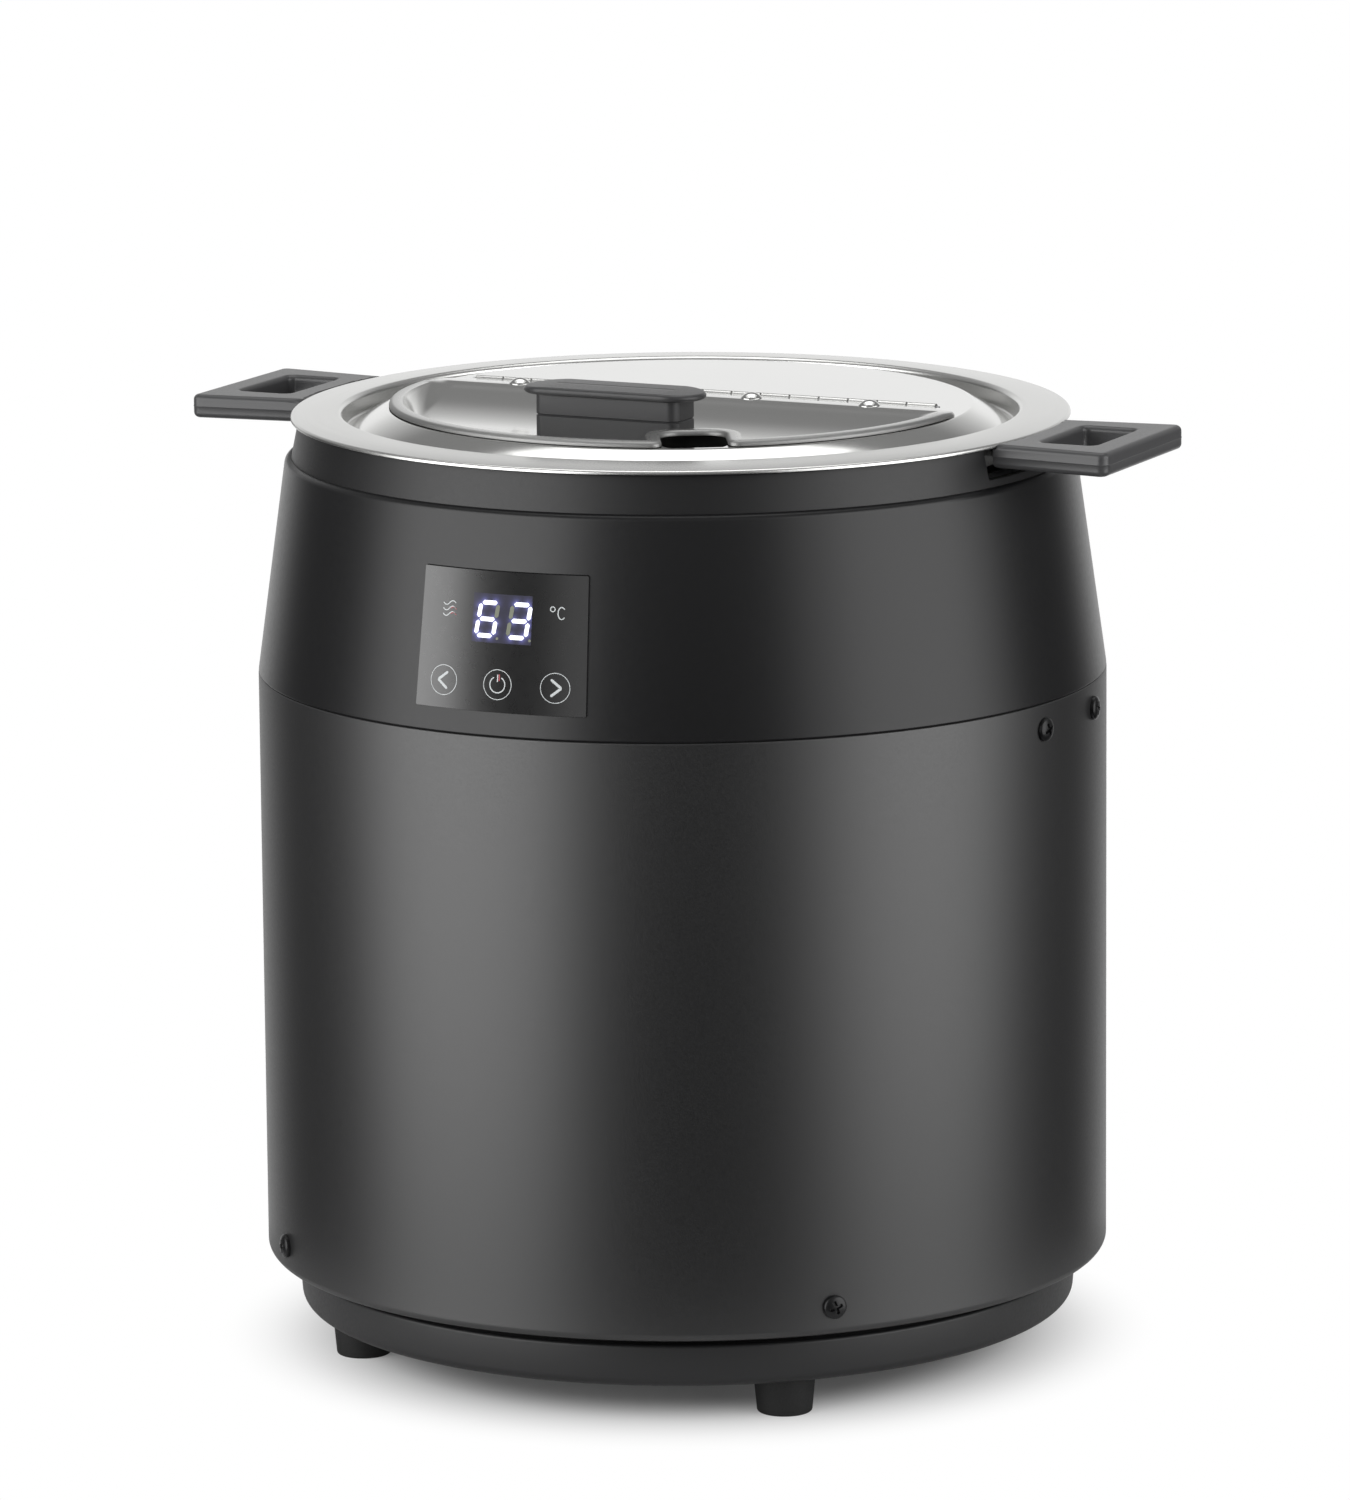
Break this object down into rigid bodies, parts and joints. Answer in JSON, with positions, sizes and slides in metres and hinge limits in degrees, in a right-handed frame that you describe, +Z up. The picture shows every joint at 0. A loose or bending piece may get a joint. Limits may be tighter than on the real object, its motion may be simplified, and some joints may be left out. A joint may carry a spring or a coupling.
{
  "type": "electric soup kettle",
  "caption": "Electric soup kettle: black steel body with touch panel, lift-out stainless pot with side handles, and a lid with a hinged dished flap and ladle notch.",
  "frame": {"origin": "on the floor, under the middle of the body", "axes": "+Z up, +X towards the right pot handle, the control panel faces -Y"},
  "size_m": [0.366, 0.31, 0.361],
  "materials": {
    "textured_black_steel": "fine-textured black powder coat",
    "satin_black_steel": "satin black enamel",
    "black_steel": "matte black coat",
    "steel": "zinc plated",
    "stainless": "satin stainless",
    "polished_stainless": "polished stainless",
    "aluminium": "drawn aluminium",
    "black_rubber": "matte rubber",
    "panel_acrylic": "gloss black overlay",
    "display_plastic": "dark display",
    "black_plastic": "moulded",
    "handle_plastic": "moulded, matte",
    "knob_plastic": "moulded, satin",
    "white_plastic": "moulded",
    "circuit_board": "solder mask",
    "glass_wool": "fibre blanket"
  },
  "bodies": {
    "housing": {"body_shell": "textured_black_steel", "base_pan": "black_steel", "foot_front_right": "black_rubber", "foot_back_right": "black_rubber", "foot_back_left": "black_rubber", "foot_front_left": "black_rubber", "upper_collar": "satin_black_steel", "neck_ring": "black_plastic", "heating_well": "aluminium", "heat_spreader": "aluminium", "heating_element": "steel", "element_clamp": "steel", "clamp_bolt": "steel", "temperature_probe": "steel", "thermal_cutout": "black_plastic", "insulation_sleeve": "glass_wool", "control_panel": "panel_acrylic", "panel_carrier": "black_plastic", "control_board": "circuit_board", "display_module": "display_plastic", "touch_pads": "black_rubber", "power_board": "circuit_board", "board_spacers": "white_plastic", "board_transformer": "black_plastic", "power_relay": "black_plastic", "terminal_block": "white_plastic", "cable_gland": "black_plastic", "gland_nut": "black_plastic"},
    "pot": {"soup_pot": "stainless", "handle_bracket_right": "stainless", "handle_bracket_left": "stainless", "pot_handle_right": "handle_plastic", "pot_handle_left": "handle_plastic"},
    "lid": {"lid_plate": "stainless", "hinge_rear_leaf": "stainless", "hinge_pin": "steel"},
    "flap": {"lid_flap": "polished_stainless", "hinge_front_leaf": "stainless", "flap_rivets": "polished_stainless", "knob_base": "knob_plastic", "knob_grip": "knob_plastic"}
  },
  "joints": [
    {"name": "pot_lift", "type": "slide", "parent": "housing", "child": "pot", "axis": [0, 0, 1], "range_m": [0, 0.22]},
    {"name": "lid_lift", "type": "slide", "parent": "pot", "child": "lid", "axis": [0, 0, 1], "range_m": [0, 0.08]},
    {"name": "flap_hinge", "type": "hinge", "parent": "lid", "child": "flap", "pos_m": [0, 0.02, 0.34715], "axis": [-1, 0, 0], "range_deg": [0, 135]}
  ]
}
